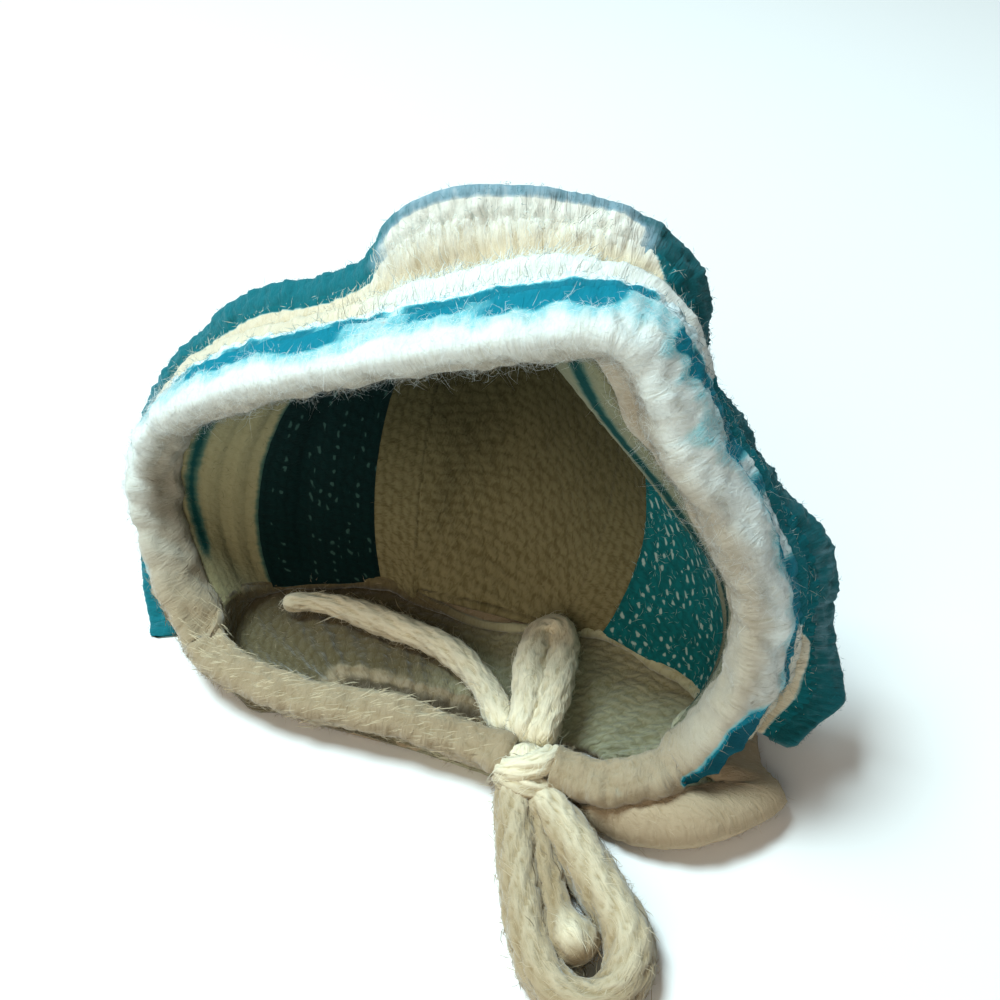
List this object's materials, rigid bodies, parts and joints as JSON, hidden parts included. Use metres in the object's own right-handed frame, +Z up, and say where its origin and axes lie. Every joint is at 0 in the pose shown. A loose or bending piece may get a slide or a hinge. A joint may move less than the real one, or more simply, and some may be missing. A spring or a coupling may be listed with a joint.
{
  "type": "knitted baby bonnet with a frilled brim and a tied cord",
  "caption": "Knitted baby bonnet with a rolled cuff, a ribbed frill, striped hood and a bow-tied neck cord, resting on its neck band.",
  "frame": {"origin": "on the table under the middle of the bonnet's own box, measured without the tie cord and its bow", "axes": "+Z up, the face opening looks along -Y, +X to the wearer's left, which is the viewer's right"},
  "size_m": [0.2079, 0.1565, 0.1319],
  "materials": {
    "cream_wool": "brushed cream wool and mohair knit, fuzzy",
    "inner_wool": "cream wool knit, purl side",
    "teal_wool": "brushed teal wool knit with cream flecks",
    "cord_wool": "knitted cream wool cord, fuzzy"
  },
  "bodies": {
    "root": {"hood_front": "cream_wool", "hood_band": "teal_wool", "hood_rear": "inner_wool", "back_panel": "inner_wool", "face_cuff": "cream_wool", "cuff_stripe": "teal_wool", "brim_ruffle": "cream_wool", "ruffle_edge": "teal_wool", "neck_band": "cream_wool", "bow_knot": "cord_wool", "bow_loop_back": "cord_wool", "bow_loop_front": "cord_wool", "tie_left": "cord_wool", "tie_end": "cord_wool"}
  },
  "joints": []
}
